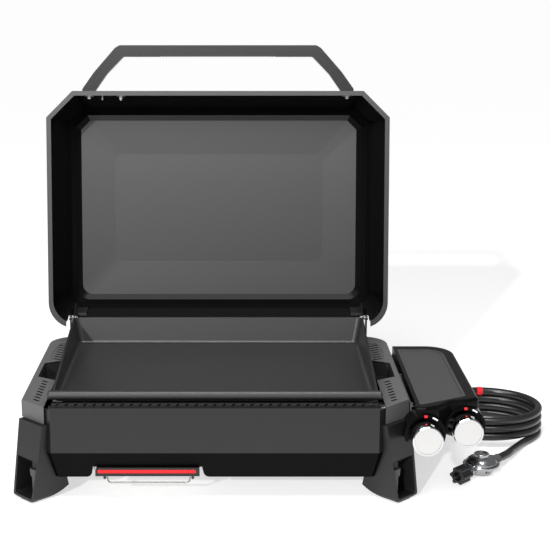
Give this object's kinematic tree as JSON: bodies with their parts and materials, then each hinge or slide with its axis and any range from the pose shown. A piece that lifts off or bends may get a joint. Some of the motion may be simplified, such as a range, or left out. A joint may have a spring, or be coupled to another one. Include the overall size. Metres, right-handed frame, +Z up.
{
  "type": "gas griddle",
  "caption": "Portable gas griddle with a hinged lid, lift-out plate, slide-out drip tray, side control box with push-and-turn knobs, and a coiled hose with regulator.",
  "frame": {"origin": "on the ground, at the middle of the footprint of the griddle without its hose and regulator", "axes": "+X to the side that carries the control box, +Y to the rear where the lid is hinged, +Z up"},
  "size_m": [0.9773, 0.5968, 0.7353],
  "materials": {
    "body_paint": "matte",
    "deck_paint": "satin",
    "plate_coat": "satin",
    "lid_enamel": "gloss",
    "handle_paint": "satin",
    "leg_plastic": "matte",
    "box_plastic": "satin",
    "tray_insert": "satin",
    "chrome": "polished",
    "knob_face": "satin",
    "knob_black": "satin",
    "steel": "satin",
    "brass": "satin",
    "red_plastic": "gloss",
    "mark_print": "matte",
    "hose_rubber": "satin",
    "zinc": "satin",
    "nut_plastic": "matte",
    "rubber": "matte"
  },
  "bodies": {
    "cook_box": {"firebox": "body_paint", "firebox_floor": "body_paint", "side_deck_left": "deck_paint", "side_deck_right": "deck_paint", "finger_cups": "knob_black", "rear_deck": "deck_paint", "front_vent_trim": "body_paint", "plate_rails": "steel", "burner_front": "steel", "burner_rear": "steel", "burner_brackets": "steel", "heat_tents": "steel", "igniter_electrodes": "steel", "leg_front_left": "leg_plastic", "leg_front_right": "leg_plastic", "leg_rear_left": "leg_plastic", "leg_rear_right": "leg_plastic", "foot_pads": "rubber", "drip_tray_rails": "steel", "hinge_bracket_left": "steel", "hinge_bracket_right": "steel", "control_box": "box_plastic", "control_box_tray": "tray_insert", "control_box_base": "box_plastic", "dial_bezels": "box_plastic", "dial_marks": "mark_print", "gas_valves": "brass", "gas_manifold": "brass", "gas_pipe_front": "steel", "gas_pipe_rear": "steel", "side_bracket": "steel", "hose_inlet": "brass", "hose_lead": "hose_rubber", "hose_coil": "hose_rubber", "hose_tail": "hose_rubber", "regulator_body": "zinc", "regulator_dome": "zinc", "regulator_cap": "zinc", "regulator_probe_screws": "steel"},
    "griddle": {"griddle_plate": "plate_coat"},
    "drip_tray": {"drip_pan": "steel", "drip_tray_front": "body_paint", "drip_tray_stripe": "red_plastic"},
    "tray_bail": {"drip_tray_bail": "steel"},
    "lid": {"lid_shell": "lid_enamel", "lid_handle": "handle_paint", "lid_fasteners": "steel", "hinge_lug_left": "steel", "hinge_lug_right": "steel", "hinge_pins": "steel"},
    "stem_left": {"valve_stem_left": "steel"},
    "knob_left": {"knob_skirt_left": "knob_black", "knob_barrel_left": "chrome", "knob_cap_left": "knob_face"},
    "stem_right": {"valve_stem_right": "steel"},
    "knob_right": {"knob_skirt_right": "knob_black", "knob_barrel_right": "chrome", "knob_cap_right": "knob_face"},
    "cylinder_nut": {"regulator_nut": "nut_plastic"}
  },
  "joints": [
    {"name": "lid_hinge", "type": "hinge", "parent": "cook_box", "child": "lid", "pos_m": [-0.0515, 0.1793, 0.20905], "axis": [1, 0, 0], "range_deg": [0, 97.1]},
    {"name": "griddle_lift", "type": "slide", "parent": "cook_box", "child": "griddle", "axis": [0, 0, 1], "range_m": [0, 0.022]},
    {"name": "drip_tray_slide", "type": "slide", "parent": "cook_box", "child": "drip_tray", "axis": [0, -1, 0], "range_m": [0, 0.19]},
    {"name": "tray_bail_swing", "type": "hinge", "parent": "drip_tray", "child": "tray_bail", "pos_m": [-0.163, -0.24985, 0.043], "axis": [1, 0, 0], "range_deg": [-95, 20]},
    {"name": "knob_push_left", "type": "slide", "parent": "cook_box", "child": "stem_left", "axis": [0, 1, 0], "range_m": [0, 0.004], "stiffness_N_per_m": 400, "springref_m": -0.003},
    {"name": "knob_turn_left", "type": "hinge", "parent": "stem_left", "child": "knob_left", "pos_m": [0.2979, -0.29085, 0.123], "axis": [0, 1, 0], "range_deg": [0, 100]},
    {"name": "knob_push_right", "type": "slide", "parent": "cook_box", "child": "stem_right", "axis": [0, 1, 0], "range_m": [0, 0.004], "stiffness_N_per_m": 400, "springref_m": -0.003},
    {"name": "knob_turn_right", "type": "hinge", "parent": "stem_right", "child": "knob_right", "pos_m": [0.3708, -0.24885, 0.123], "axis": [0, 1, 0], "range_deg": [0, 100]},
    {"name": "cylinder_nut_turn", "type": "hinge", "parent": "cook_box", "child": "cylinder_nut", "pos_m": [0.3772, -0.16498, 0.01605], "axis": [-0.7001, -0.7141, 0], "continuous": true}
  ]
}
